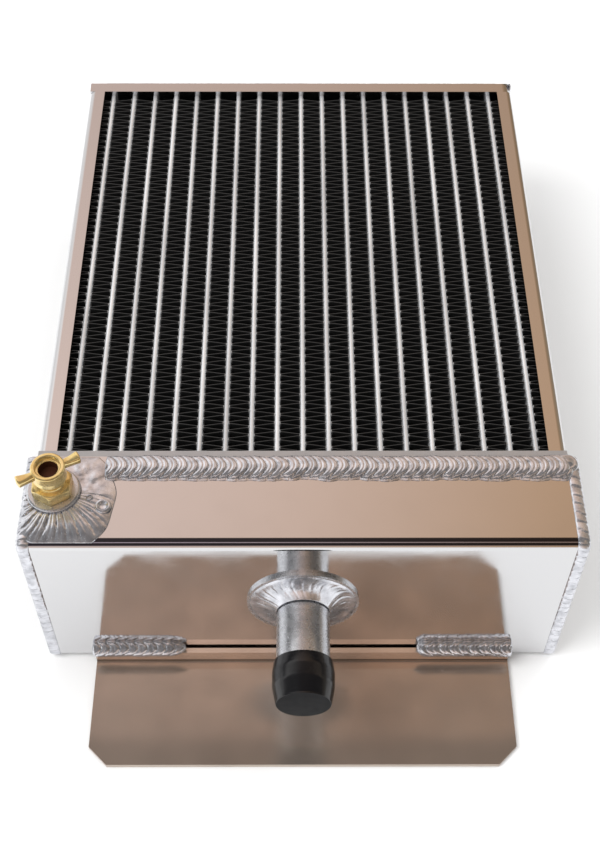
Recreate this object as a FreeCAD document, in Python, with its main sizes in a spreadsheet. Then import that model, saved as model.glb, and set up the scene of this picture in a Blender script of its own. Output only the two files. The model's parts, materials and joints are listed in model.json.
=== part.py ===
import FreeCAD, Part

import math
import os
from types import SimpleNamespace

import Sketcher
from FreeCAD import Placement, Rotation, Vector

# A small welded aluminium car radiator, lying on its back: the core's open face looks up.
# X runs across the tubes, Y from the outlet tank to the inlet tank, Z up through the core.
# The origin is under the middle of the whole part. Lengths are millimetres.

SIZES = {
    # core
    "tube_pitch": 10, "tube_count": 19, "tube_thick": 2, "tube_deep": 26, "tube_wall": 0.4,
    "tube_rows": 3, "row_gap": 2.2, "core_long": 212, "core_low": 3.2, "tube_stub": 2,
    "braze_gap": 0.05, "fin_sheet": 0.15, "fin_step": 2, "fin_flat": 0.7, "fin_margin": 0.4,
    # sheet metal
    "sheet": 2, "sit": 0.8, "top": 88, "bend": 3.5, "side_bend": 2.5,
    "web_outside": 101, "flange_inner": 94,
    # outlet tank, at the low-Y end
    "tank_deep": 39.8, "near_header_thick": 2.7, "end_outside": 103, "end_bead_out": 105,
    "end_bead_in": 100.2, "end_bead_rise": 0.6, "end_bead_band": 4,
    "seam_wide": 11.2, "seam_rise": 2.5, "seam_low_rise": 0.6,
    # inlet tank, at the high-Y end
    "rim_deep": 6, "shoulder_run": 16, "shoulder_drop": 26, "rim_corner": 4,
    "far_bead_rise": 0.8, "far_bead_wide": 4, "far_bead_side_top": 82,
    # spouts
    "pipe_outside": 10.2, "pipe_wall": 1.5, "outlet_axis": 47.5, "outlet_reach": 41.2,
    "inlet_axis": 31, "inlet_reach": 34, "pipe_inside_tank": 4, "root_step": 0.6,
    "collar_outside": 21.7, "collar_thick": 1.2, "fillet_leg": 5,
    "cap_outside": 11.85, "cap_rim_outside": 11.2, "cap_end_outside": 10.3, "cap_long": 16.8,
    "cap_end_thick": 2.2, "cap_gap": 0.05,
    # drain cock
    "cock_side": 92.9, "cock_in": 23, "bung_outside": 10, "bung_high": 3, "spigot": 6,
    "spigot_gap": 0.05, "hex_flats": 14, "hex_high": 5, "neck": 4.9, "neck_groove": 4.2,
    "neck_high": 2.6, "stem": 3, "stem_gap": 0.05, "chamber": 4, "chamber_high": 5,
    "drain_hole": 2, "seat_thick": 0.6, "spigot_reach": 4, "seal_outside": 3.7, "seal_high": 2,
    "barrel": 6.35, "barrel_high": 6.6, "barrel_lift": 0.4, "counterbore": 4.6,
    "counterbore_deep": 1.6, "key_hole": 3.6, "key_hole_deep": 5.4, "stem_bore": 1.6,
    "ear_reach": 12.4, "ear_root": 1.7, "ear_tip": 2.3, "ear_high": 4.4, "ear_turn": 28,
    "bung_bead_out": 15.5, "bung_bead_high": 1.8,
    # foot bracket
    "foot_wide": 170, "foot_reach": 48, "foot_sheet": 2.2, "foot_up": 9.5, "foot_gap": 0.8,
    "foot_corner": 7.5, "foot_bend": 2.6, "stitch_leg": 5, "stitch_in": 47, "stitch_out": 86,
}

doc = FreeCAD.newDocument("radiator")
dims = doc.addObject("Spreadsheet::Sheet", "dims")
for line, (word, number) in enumerate(SIZES.items(), start=1):
    dims.set(f"A{line}", word)
    dims.set(f"B{line}", str(number))
    dims.setAlias(f"B{line}", word)
doc.recompute()


class Size:
    """A length held twice: as its number, and as the spreadsheet expression that gives it."""

    def __init__(self, number, words=None):
        self.number = float(number)
        self.words = words or repr(float(number))

    def __add__(self, other):
        other = as_size(other)
        return Size(self.number + other.number, f"({self.words} + {other.words})")

    def __sub__(self, other):
        other = as_size(other)
        return Size(self.number - other.number, f"({self.words} - {other.words})")

    def __mul__(self, factor):
        return Size(self.number * factor, f"({self.words} * {factor})")

    def __neg__(self):
        return self * -1

    def __radd__(self, other):
        return as_size(other) + self

    def __rsub__(self, other):
        return as_size(other) - self


def as_size(length):
    return length if isinstance(length, Size) else Size(length)


d = SimpleNamespace(**{word: Size(dims.get(word), f"dims.{word}") for word in SIZES})

# Places along Y, from the outlet tank's front face to the mouth of the inlet spout.
whole_long = (d.foot_reach + d.tank_deep + d.near_header_thick + d.core_long
              + d.rim_deep + d.shoulder_run + d.inlet_reach)
face = d.foot_reach - whole_long * 0.5
header_front = face + d.tank_deep
core_start = header_front + d.near_header_thick
core_end = core_start + d.core_long
rim_end = core_end + d.rim_deep
back = rim_end + d.shoulder_run

# Places along Z and X.
core_thick = d.tube_deep * 3 + d.row_gap * 2
web_inside = d.web_outside - d.sheet
tube_half = d.tube_thick * 0.5

nodes = []


def bind(thing, prop, length):
    thing.setExpression(prop, as_size(length).words)


def new_body(name):
    body = doc.addObject("PartDesign::Body", name)
    body.Label = name
    nodes.append(body)
    return body


def new_sketch(body, name, plane, start=0):
    """A sketch on one of the body's own planes, moved along that plane's axis to start."""
    sketch = body.newObject("Sketcher::SketchObject", name)
    support = [f for f in body.Origin.OriginFeatures if f.Role == f"{plane}_Plane"]
    sketch.AttachmentSupport = [(support[0], "")]
    sketch.MapMode = "FlatFace"
    along = -as_size(start) if plane == "XZ" else as_size(start)
    bind(sketch, "AttachmentOffset.Base.z", along)
    return sketch


def hold(sketch, joined, held):
    """Joins the sketch's ends and holds its points and radii at the spreadsheet's lengths.

    joined lists (line, end, line, end); held lists (kind, element, end, length).
    """
    rules = [Sketcher.Constraint("Coincident", *ends) for ends in joined]
    for kind, element, end, length in held:
        if kind == "Radius":
            rules.append(Sketcher.Constraint(kind, element, length.number))
        else:
            rules.append(Sketcher.Constraint(kind, -1, 1, element, end, length.number))
    numbers = sketch.addConstraint(rules)[len(joined):]
    for number, (kind, element, end, length) in zip(numbers, held):
        sketch.setExpression(f"Constraints[{number}]", length.words)


def held_point(element, end, place):
    """What holds one end of a line, or the centre of a round, at a place."""
    return [("DistanceX", element, end, as_size(place[0])),
            ("DistanceY", element, end, as_size(place[1]))]


def draw_outline(sketch, corners):
    """A closed outline of straight edges, each corner held by the spreadsheet."""
    spots = [Vector(as_size(a).number, as_size(b).number, 0) for a, b in corners]
    count = len(spots)
    lines = sketch.addGeometry([Part.LineSegment(spots[i], spots[(i + 1) % count])
                                for i in range(count)])
    joined = [(lines[i], 2, lines[(i + 1) % count], 1) for i in range(count)]
    held = []
    for line, corner in zip(lines, corners):
        held += held_point(line, 1, corner)
    hold(sketch, joined, held)


def draw_circle(sketch, centre, radius):
    spot = Vector(as_size(centre[0]).number, as_size(centre[1]).number, 0)
    circle = sketch.addGeometry(Part.Circle(spot, Vector(0, 0, 1), radius.number))
    hold(sketch, [], held_point(circle, 3, centre) + [("Radius", circle, 0, radius)])


def draw_slot(sketch, x, low, high, half):
    """A flat tube's section: two straight sides closed by half circles, upright at x."""
    x, low, high = as_size(x), as_size(low) + half, as_size(high) - half
    corners = [(x + half, low), (x + half, high), (x - half, high), (x - half, low)]
    spots = [Vector(a.number, b.number, 0) for a, b in corners]
    parts = [Part.LineSegment(spots[0], spots[1]), Part.LineSegment(spots[2], spots[3])]
    for level, start in ((high, 0), (low, math.pi)):
        ring = Part.Circle(Vector(x.number, level.number, 0), Vector(0, 0, 1), half.number)
        parts.append(Part.ArcOfCircle(ring, start, start + math.pi))
    right, left, upper, lower = sketch.addGeometry(parts)
    joined = [(right, 2, upper, 1), (left, 1, upper, 2), (left, 2, lower, 1),
              (right, 1, lower, 2)]
    held = [("DistanceY", upper, 3, high), ("DistanceY", lower, 3, low)]
    for line, end, corner in ((right, 1, 0), (right, 2, 1), (left, 1, 2), (left, 2, 3)):
        held += held_point(line, end, corners[corner])
    hold(sketch, joined, held)


def pad(body, sketch, length, plane):
    """Pads towards the plane's positive axis."""
    feature = body.newObject("PartDesign::Pad", f"{sketch.Name}_pad")
    feature.Profile = sketch
    feature.Reversed = plane == "XZ"
    bind(feature, "Length", length)
    return feature


def cut(body, sketch, length, plane):
    """Pockets towards the plane's positive axis, and insists that something was cut away."""
    doc.recompute()
    before = body.Shape.Volume
    feature = body.newObject("PartDesign::Pocket", f"{sketch.Name}_cut")
    feature.Profile = sketch
    feature.Reversed = plane != "XZ"
    bind(feature, "Length", length)
    doc.recompute()
    if body.Shape.Volume > before - 1e-3:
        raise RuntimeError(f"{feature.Name} cuts nothing")
    return feature


def prism(name, plane, outline, start, length, body=None):
    body = body or new_body(name)
    sketch = new_sketch(body, f"{name}_outline", plane, start)
    draw_outline(sketch, outline)
    pad(body, sketch, length, plane)
    return body


def turned(name, outline):
    """A round piece about its body's own Z: the outline is given as (radius, height) corners."""
    body = new_body(name)
    sketch = new_sketch(body, f"{name}_section", "XZ")
    draw_outline(sketch, outline)
    feature = body.newObject("PartDesign::Revolution", f"{name}_turn")
    feature.Profile = sketch
    feature.ReferenceAxis = (sketch, ["V_Axis"])
    feature.Angle = 360
    return body


def place(body, x, y, z, tilt=0):
    """Moves a body to x, y, z, first tipped about X, so +90 points its Z towards -Y."""
    body.Placement = Placement(Vector(0, 0, 0), Rotation(Vector(1, 0, 0), tilt))
    for axis, length in zip("xyz", (x, y, z)):
        bind(body, f"Placement.Base.{axis}", length)


def dress(body, kind, length, wanted):
    """Rounds (Fillet) or bevels (Chamfer) the edges that wanted accepts by their middle."""
    doc.recompute()
    base = body.Tip
    picked = [f"Edge{i}" for i, edge in enumerate(base.Shape.Edges, start=1)
              if wanted(edge, edge.CenterOfMass)]
    if not picked:
        raise RuntimeError(f"no edge to dress on {body.Label}")
    feature = body.newObject(f"PartDesign::{kind}", f"{body.Label}_{kind.lower()}_{base.Name}")
    feature.Base = (base, picked)
    bind(feature, "Radius" if kind == "Fillet" else "Size", length)
    return feature


def runs_along(edge, axis):
    return abs(abs(edge.tangentAt(edge.FirstParameter).dot(axis)) - 1) < 1e-6


def near(number, length):
    return abs(number - as_size(length).number) < 0.01


ALONG_X, ALONG_Y, ALONG_Z = Vector(1, 0, 0), Vector(0, 1, 0), Vector(0, 0, 1)
SIDES = (("left", -1), ("right", 1))


# ---- core ------------------------------------------------------------------------------

def slot_levels():
    """The low and high end of each tube row, from the bottom up."""
    step = d.tube_deep + d.row_gap
    return [(d.core_low + step * row, d.core_low + step * row + d.tube_deep)
            for row in range(SIZES["tube_rows"])]


def tube_place(index):
    return d.tube_pitch * (index - (SIZES["tube_count"] - 1) / 2)


def make_tubes():
    """Each node is one column of flat tubes, three deep, let into both headers."""
    start = core_start - d.near_header_thick - d.tube_stub
    length = core_end + d.sheet + d.tube_stub - start
    low, high = slot_levels()[0]
    for index in range(SIZES["tube_count"]):
        name = f"tube_{index + 1:02d}"
        body = new_body(name)
        sketch = new_sketch(body, f"{name}_section", "XZ")
        draw_slot(sketch, 0, low, high, tube_half)
        draw_slot(sketch, 0, low + d.tube_wall, high - d.tube_wall, tube_half - d.tube_wall)
        first = pad(body, sketch, length, "XZ")
        rows = body.newObject("PartDesign::LinearPattern", f"{name}_rows")
        rows.Originals = [first]
        rows.Direction = (sketch, ["V_Axis"])
        rows.Occurrences = SIZES["tube_rows"]
        bind(rows, "Length", (d.tube_deep + d.row_gap) * 2)
        body.Tip = rows
        place(body, tube_place(index), start, 0)


def thicken(path, thick):
    """The closed outline of a sheet of the given thickness folded along a path."""
    sides = ([], [])
    for i, spot in enumerate(path):
        before = (spot - path[i - 1]).normalize() if i else (path[1] - spot).normalize()
        after = (path[i + 1] - spot).normalize() if i + 1 < len(path) else before
        normals = [Vector(-way.y, way.x, 0) for way in (before, after)]
        mitre = (normals[0] + normals[1]) * (thick / 2 / (1 + normals[0].dot(normals[1])))
        sides[0].append(spot + mitre)
        sides[1].append(spot - mitre)
    return sides[0] + sides[1][::-1]


def make_fins():
    """Corrugated strips between the tubes, full core depth, five strips to a node."""
    thick = d.fin_sheet.number
    tall = (d.tube_pitch - d.tube_thick).number - thick
    step, flat = d.fin_step.number, d.fin_flat.number
    first = (core_start + d.fin_margin).number + step / 2
    folds = int((d.core_long.number - 2 * d.fin_margin.number - step) / step) + 1
    strips = []
    for row in range(SIZES["tube_count"] + 1):
        low = (tube_place(row) - d.tube_pitch + tube_half).number + thick / 2
        path = []
        for fold in range(folds):
            side = low + tall * ((fold + row) % 2)
            path.append(Vector(side, first + fold * step - flat / 2, 0))
            path.append(Vector(side, first + fold * step + flat / 2, 0))
        corners = thicken(path, thick)
        wire = Part.makePolygon(corners + corners[:1])
        wire.translate(Vector(0, 0, d.core_low.number))
        strips.append(Part.Face(wire).extrude(Vector(0, 0, core_thick.number)))
    for group in range(4):
        strip_group = strips[group * 5:group * 5 + 5]
        fins = doc.addObject("Part::Feature", f"fin_pack_{group + 1}")
        fins.Label = fins.Name
        fins.Shape = Part.makeCompound(strip_group)
        nodes.append(fins)


def make_side_channels():
    """Folded U channels that close the core's two long sides, open towards the tubes."""
    for side, sign in SIDES:
        outside, inside = d.web_outside * sign, web_inside * sign
        lip = d.flange_inner * sign
        low, high = d.sit, d.top
        outline = [(lip, low), (outside, low), (outside, high), (lip, high),
                   (lip, high - d.sheet), (inside, high - d.sheet),
                   (inside, low + d.sheet), (lip, low + d.sheet)]
        body = prism(f"side_channel_{side}", "XZ", outline, core_start, d.core_long)
        dress(body, "Fillet", d.side_bend, lambda edge, mid: runs_along(edge, ALONG_Y)
              and near(abs(mid.x), d.web_outside))


def cut_tube_slots(body, name, start, length):
    """One column of slots, repeated across the header."""
    sketch = new_sketch(body, f"{name}_slots", "XZ", start)
    for low, high in slot_levels():
        draw_slot(sketch, tube_place(0), low - d.braze_gap, high + d.braze_gap,
                  tube_half + d.braze_gap)
    column = cut(body, sketch, length, "XZ")
    columns = body.newObject("PartDesign::LinearPattern", f"{name}_columns")
    columns.Originals = [column]
    columns.Direction = (sketch, ["H_Axis"])
    columns.Occurrences = SIZES["tube_count"]
    bind(columns, "Length", d.tube_pitch * (SIZES["tube_count"] - 1))
    body.Tip = columns


def make_headers():
    """Slotted plates that hold the tube ends. The inlet one is a pan with a turned rim."""
    wide = d.web_outside
    outline = [(-wide, d.sit), (wide, d.sit), (wide, d.top), (-wide, d.top)]
    body = prism("near_header", "XZ", outline, header_front, d.near_header_thick)
    cut_tube_slots(body, "near_header", header_front, d.near_header_thick)

    body = prism("far_header", "XZ", outline, core_end, d.rim_deep)
    dress(body, "Fillet", d.rim_corner, lambda edge, mid: runs_along(edge, ALONG_Y)
          and mid.x > 0)
    hollow = new_sketch(body, "far_header_hollow", "XZ", core_end + d.sheet)
    inner = wide - d.sheet
    draw_outline(hollow, [(-inner, d.sit + d.sheet), (inner, d.sit + d.sheet),
                          (inner, d.top - d.sheet), (-inner, d.top - d.sheet)])
    cut(body, hollow, d.rim_deep - d.sheet, "XZ")
    cut_tube_slots(body, "far_header", core_end, d.sheet)


# ---- outlet tank -----------------------------------------------------------------------

def make_near_tank():
    """A sheet folded to a U, its open side on the header, closed by two end plates."""
    low, high = d.sit, d.top
    outline = [(header_front, low), (face, low), (face, high), (header_front, high),
               (header_front, high - d.sheet), (face + d.sheet, high - d.sheet),
               (face + d.sheet, low + d.sheet), (header_front, low + d.sheet)]
    body = prism("near_tank_shell", "YZ", outline, -d.web_outside, d.web_outside * 2)
    dress(body, "Fillet", d.bend, lambda edge, mid: runs_along(edge, ALONG_X)
          and near(mid.y, face))
    dress(body, "Fillet", d.bend - d.sheet, lambda edge, mid: runs_along(edge, ALONG_X)
          and near(mid.y, face + d.sheet))
    mouth = new_sketch(body, "outlet_mouth", "XZ", face - 1)
    draw_circle(mouth, (0, d.outlet_axis), d.pipe_outside)
    cut(body, mouth, d.sheet + 2, "XZ")
    drain = new_sketch(body, "drain_mouth", "XY", high - d.sheet - 1)
    draw_circle(drain, (-d.cock_side, face + d.cock_in), d.spigot + d.spigot_gap)
    cut(body, drain, d.sheet + 2, "XY")

    ends = [(header_front, low), (face, low), (face, high), (header_front, high)]
    thick = d.end_outside - d.web_outside
    for side, start in (("left", -d.end_outside), ("right", d.web_outside)):
        body = prism(f"near_tank_end_{side}", "YZ", ends, start, thick)
        dress(body, "Fillet", d.bend, lambda edge, mid: runs_along(edge, ALONG_X)
              and near(mid.y, face))


def make_near_end_welds():
    """The bead round each end plate: over the shell's edge and down on to the plate."""
    rise, band = d.end_bead_rise, d.end_bead_band
    low, high = d.sit, d.top
    wrap = [(header_front, low - rise), (face - rise, low - rise),
            (face - rise, high + rise), (header_front, high + rise)]
    ease = d.bend * (2 - math.sqrt(2))
    seat = [(header_front, low), (face + ease, low), (face, low + ease),
            (face, high - ease), (face + ease, high), (header_front, high)]
    window = [(header_front, low + band), (face + band, low + band),
              (face + band, high - band), (header_front, high - band)]
    over = d.end_outside - d.end_bead_in
    for side, start, seat_start in (("left", -d.end_bead_out, -d.end_outside),
                                    ("right", d.end_bead_in, d.end_bead_in)):
        name = f"near_end_weld_{side}"
        body = prism(name, "YZ", wrap, start, d.end_bead_out - d.end_bead_in)
        dress(body, "Fillet", d.bend + rise, lambda edge, mid: runs_along(edge, ALONG_X)
              and near(mid.y, face - rise))
        sketch = new_sketch(body, f"{name}_seat", "YZ", seat_start)
        draw_outline(sketch, seat)
        cut(body, sketch, over, "YZ")
        sketch = new_sketch(body, f"{name}_window", "YZ", start)
        draw_outline(sketch, window)
        cut(body, sketch, d.end_bead_out - d.end_bead_in, "YZ")
    boss = new_sketch(nodes[-2], "near_end_weld_boss", "XY", d.top)
    draw_circle(boss, (-d.cock_side, face + d.cock_in), d.bung_outside + d.braze_gap)
    cut(nodes[-2], boss, rise + 1, "XY")


def make_near_header_weld():
    """The seam between tank and header: wide and proud on top, low below, short at the ends."""
    body = new_body("near_header_weld")
    wide = d.web_outside
    start, middle = header_front - d.seam_wide, header_front - d.seam_wide * 0.5
    quarter = d.seam_wide * 0.25
    top_seam = [(start, d.top), (header_front, d.top),
                (middle + quarter, d.top + d.seam_rise * 0.8),
                (middle, d.top + d.seam_rise), (middle - quarter, d.top + d.seam_rise * 0.8)]
    low_seam = [(start, d.sit), (middle, d.sit - d.seam_low_rise), (header_front, d.sit)]
    inside = d.end_bead_in - 0.2
    for place_name, outline, first in (("top", top_seam, d.bung_bead_out - d.cock_side),
                                       ("low", low_seam, -inside)):
        prism(f"near_header_weld_{place_name}", "YZ", outline, first, inside - first, body)
    for side, sign in SIDES:
        outline = [(wide * sign, header_front), (d.end_outside * sign, header_front),
                   (wide * sign, core_start - 0.3)]
        prism(f"near_header_weld_{side}", "XY", outline, d.sit, d.top - d.sit, body)


# ---- inlet tank ------------------------------------------------------------------------

def far_profile(inset):
    """The inlet tank's outline in Y and Z, moved in from the outside by inset."""
    slope = math.hypot(d.shoulder_run.number, d.shoulder_drop.number)
    top_shift = slope / d.shoulder_run.number
    shoulder = d.top - d.shoulder_drop
    back_shift = (slope - d.shoulder_drop.number) / d.shoulder_run.number
    return [(rim_end, d.sit + inset), (back - inset, d.sit + inset),
            (back - inset, shoulder - inset * back_shift), (rim_end, d.top - inset * top_shift)]


def make_far_tank():
    """A folded trough with a sloping shoulder, welded to the rim of the inlet header."""
    outer, inner = far_profile(as_size(0)), far_profile(d.sheet)
    outline = outer + inner[::-1]
    body = prism("far_tank_shell", "YZ", outline, -web_inside, web_inside * 2)
    mouth = new_sketch(body, "inlet_mouth", "XZ", back - d.sheet - 1)
    draw_circle(mouth, (0, d.inlet_axis), d.pipe_outside)
    cut(body, mouth, d.sheet + 2, "XZ")
    for side, start in (("left", -d.web_outside), ("right", web_inside)):
        prism(f"far_tank_end_{side}", "YZ", outer, start, d.sheet)


def make_far_header_weld():
    """Beads on the shoulder and on the two ends, where the trough meets the header's rim."""
    body = new_body("far_header_weld")
    run, drop = d.shoulder_run.number, d.shoulder_drop.number
    slope = math.hypot(run, drop)
    wide, rise = d.far_bead_wide, d.far_bead_rise

    def on_shoulder(down, out):
        return (rim_end + down * (run / slope) + out * (drop / slope),
                d.top - down * (drop / slope) + out * (run / slope))

    shoulder = [on_shoulder(wide * share, rise * lift)
                for share, lift in ((0.1, 0), (0.35, 0.9), (0.65, 0.9), (1, 0))]
    inside = web_inside - 4
    prism("far_header_weld_top", "YZ", shoulder, -inside, inside * 2, body)
    for side, sign in SIDES:
        outside = d.web_outside * sign
        outline = [(outside, rim_end - wide * 0.5), (outside, rim_end + wide * 0.5),
                   (outside + rise * sign, rim_end)]
        prism(f"far_header_weld_{side}", "XY", outline, d.sit + 2,
              d.far_bead_side_top - d.sit - 2, body)


# ---- spouts ----------------------------------------------------------------------------

def make_spout(name, height, reach, wall_outside, tilt):
    """A pipe with a turned-down root through the wall, a collar disc and a fillet weld."""
    inner = d.pipe_outside - d.pipe_wall
    root = d.pipe_outside - d.root_step
    inside = -(d.sheet + d.pipe_inside_tank)
    shoulder = d.collar_thick + d.fillet_leg
    pipe = turned(f"{name}_pipe", [(inner, inside), (root, inside), (root, shoulder),
                                   (d.pipe_outside, shoulder), (d.pipe_outside, reach),
                                   (inner, reach)])
    snug = root + d.braze_gap
    collar = turned(f"{name}_collar", [(snug, 0), (d.collar_outside, 0),
                                       (d.collar_outside, d.collar_thick),
                                       (snug, d.collar_thick)])
    bead = turned(f"{name}_weld", [
        (snug, d.collar_thick), (snug + d.fillet_leg, d.collar_thick),
        (snug + d.fillet_leg * 0.45, d.collar_thick + d.fillet_leg * 0.45),
        (snug, d.collar_thick + d.fillet_leg)])
    for body in (pipe, collar, bead):
        place(body, 0, wall_outside, height, tilt)


def make_outlet_cap():
    """The push-on cap over the outlet: a slightly barrelled cup with a thick closed end."""
    bore = d.pipe_outside + d.cap_gap
    body = turned("outlet_cap", [
        (bore, 0), (d.cap_rim_outside, 0), (d.cap_outside, d.cap_long * 0.25),
        (d.cap_outside, d.cap_long * 0.6), (d.cap_end_outside, d.cap_long),
        (0, d.cap_long), (0, d.cap_long - d.cap_end_thick + 0.2),
        (bore, d.cap_long - d.cap_end_thick + 0.2)])
    place(body, 0, face - d.outlet_reach - d.cap_end_thick + d.cap_long, d.outlet_axis, 90)


# ---- drain cock ------------------------------------------------------------------------

cock_x, cock_y = -d.cock_side, face + d.cock_in
seat_level = d.top + d.bung_high
hex_top = seat_level + d.hex_high
neck_top = hex_top + d.neck_high
spigot_low = d.top - d.spigot_reach
seal_low = spigot_low + d.seat_thick + 0.05


def make_drain_bung():
    snug = d.spigot + d.spigot_gap
    bung = turned("drain_bung", [(snug, 0), (d.bung_outside, 0),
                                 (d.bung_outside, d.bung_high), (snug, d.bung_high)])
    dress(bung, "Fillet", as_size(0.8), lambda edge, mid: near(mid.z, d.bung_high)
          and edge.Curve.Radius > d.spigot.number + 1)
    outer = d.bung_outside + d.braze_gap
    bead = turned("drain_bung_weld", [
        (outer, 0), (d.bung_bead_out, 0),
        (d.bung_bead_out - 1.5, d.bung_bead_high * 0.5),
        (outer + 1.2, d.bung_bead_high), (outer, d.bung_bead_high)])
    trim = new_sketch(bead, "drain_bung_weld_trim", "XY", -1)
    reach = d.bung_bead_out + 1
    side_room = d.end_bead_in - d.cock_side
    draw_outline(trim, [(-reach, -reach), (-side_room, -reach), (-side_room, reach),
                        (-reach, reach)])
    cut(bead, trim, d.bung_bead_high + 2, "XY")
    for body in (bung, bead):
        place(body, cock_x, cock_y, d.top)


def make_drain_cock():
    """Brass cock: a spigot in the bung, a hexagon, a grooved neck and a bore for the stem."""
    low, bore = spigot_low - d.top, d.stem + d.stem_gap
    body = turned("drain_cock_body", [
        (d.drain_hole, low), (d.spigot, low), (d.spigot, d.bung_high + 1),
        (d.neck, d.bung_high + 1), (d.neck, hex_top - d.top + 0.8),
        (d.neck_groove, hex_top - d.top + 1.2), (d.neck_groove, neck_top - d.top - 1),
        (d.neck, neck_top - d.top - 0.6), (d.neck, neck_top - d.top),
        (bore, neck_top - d.top), (bore, low + d.chamber_high),
        (d.chamber, low + d.chamber_high), (d.chamber, low + d.seat_thick),
        (d.drain_hole, low + d.seat_thick)])
    hexagon = new_sketch(body, "drain_cock_hexagon", "XY", d.bung_high)
    corner = d.hex_flats * (1 / math.sqrt(3))
    corners = [(corner * math.cos(math.radians(60 * i)), corner * math.sin(math.radians(60 * i)))
               for i in range(6)]
    draw_outline(hexagon, corners)
    draw_circle(hexagon, (0, 0), d.spigot - 1.2)
    pad(body, hexagon, d.hex_high, "XY")
    place(body, cock_x, cock_y, d.top)

    seal = turned("drain_seal", [(0, 0), (d.seal_outside, 0), (d.seal_outside, d.seal_high),
                                 (0, d.seal_high)])
    place(seal, cock_x, cock_y, seal_low)


def make_drain_key():
    """The wing key: a hollow stem down to the seal, a barrel with two ears on top."""
    stem_low = seal_low + d.seal_high + 0.05 - neck_top
    lift = d.barrel_lift
    top = lift + d.barrel_high
    body = turned("drain_key", [
        (0, stem_low), (d.stem, stem_low), (d.stem, lift), (d.barrel - 1, lift),
        (d.barrel, lift + 1), (d.barrel, top - 0.4), (d.barrel - 0.4, top), (0, top)])
    ears = new_sketch(body, "drain_key_ears", "XY", top - d.ear_high - 0.6)
    root, tip, reach = d.ear_root, d.ear_tip, d.ear_reach
    draw_outline(ears, [(-reach, -tip), (0, -root), (reach, -tip),
                        (reach, tip), (0, root), (-reach, tip)])
    pad(body, ears, d.ear_high, "XY")
    for word, radius, deep in (("counterbore", d.counterbore, d.counterbore_deep),
                               ("hole", d.key_hole, d.key_hole_deep),
                               ("bore", d.stem_bore, top - stem_low - 2)):
        sketch = new_sketch(body, f"drain_key_{word}", "XY", top - deep)
        draw_circle(sketch, (0, 0), radius)
        cut(body, sketch, deep + 0.5, "XY")
    cross = new_sketch(body, "drain_key_cross_hole", "XZ", -d.stem - 1)
    draw_circle(cross, (0, stem_low + 3.2), as_size(1))
    cut(body, cross, d.stem * 2 + 2, "XZ")
    place(body, cock_x, cock_y, neck_top)
    turn = Rotation(Vector(0, 0, 1), d.ear_turn.number)
    body.Placement = Placement(body.Placement.Base, turn)


# ---- foot bracket ----------------------------------------------------------------------

def make_foot():
    """An L of sheet under the outlet spout: a plate to stand on and a flange to the tank."""
    inner = face - d.foot_gap
    outer = inner - d.foot_sheet
    front = face - d.foot_reach
    outline = [(front, 0), (inner, 0), (inner, d.foot_up), (outer, d.foot_up),
               (outer, d.foot_sheet), (front, d.foot_sheet)]
    body = prism("foot_bracket", "YZ", outline, d.foot_wide * -0.5, d.foot_wide)
    dress(body, "Fillet", d.foot_bend, lambda edge, mid: runs_along(edge, ALONG_X)
          and near(mid.y, inner) and near(mid.z, 0))
    dress(body, "Chamfer", d.foot_corner, lambda edge, mid: runs_along(edge, ALONG_Z)
          and near(mid.y, front))

    welds = new_body("foot_weld")
    section = [(face, d.foot_up + 0.02), (outer, d.foot_up + 0.02),
               (outer + 0.5, d.foot_up + d.stitch_leg * 0.6),
               (face, d.foot_up + d.stitch_leg)]
    length = d.stitch_out - d.stitch_in
    prism("foot_weld_left", "YZ", section, -d.stitch_out, length, welds)
    prism("foot_weld_right", "YZ", section, d.stitch_in, length, welds)


# ---- build, check and write ------------------------------------------------------------

make_tubes()
make_fins()
make_side_channels()
make_headers()
make_near_tank()
make_near_end_welds()
make_near_header_weld()
make_far_tank()
make_far_header_weld()
make_spout("outlet", d.outlet_axis, d.outlet_reach, face, 90)
make_spout("inlet", d.inlet_axis, d.inlet_reach, back, -90)
make_outlet_cap()
make_drain_bung()
make_drain_cock()
make_drain_key()
make_foot()
doc.recompute()

for thing in doc.Objects:
    if "Invalid" in thing.State or "Error" in thing.State:
        raise RuntimeError(f"{thing.Name} failed: {thing.State}")
os.makedirs("parts", exist_ok=True)
for node in nodes:
    shape = node.Shape
    if shape.isNull() or not shape.isValid():
        raise RuntimeError(f"{node.Label} has no sound shape")
    shape.exportStep(f"parts/{node.Label}.step")
    print(f"{node.Label:22} {len(shape.Solids):3} solids {shape.Volume:12.1f} mm3")
whole = FreeCAD.BoundBox()
for node in nodes:
    whole.add(node.Shape.BoundBox)
print(f"{len(nodes)} nodes, {whole.XLength:.1f} x {whole.YLength:.1f} x {whole.ZLength:.1f} mm")
print(f"X {whole.XMin:.2f} {whole.XMax:.2f}  Y {whole.YMin:.2f} {whole.YMax:.2f}  Z {whole.ZMin:.2f}")
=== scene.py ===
import json
import math

import bmesh
import bpy
from mathutils import Matrix, Vector, noise

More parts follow.
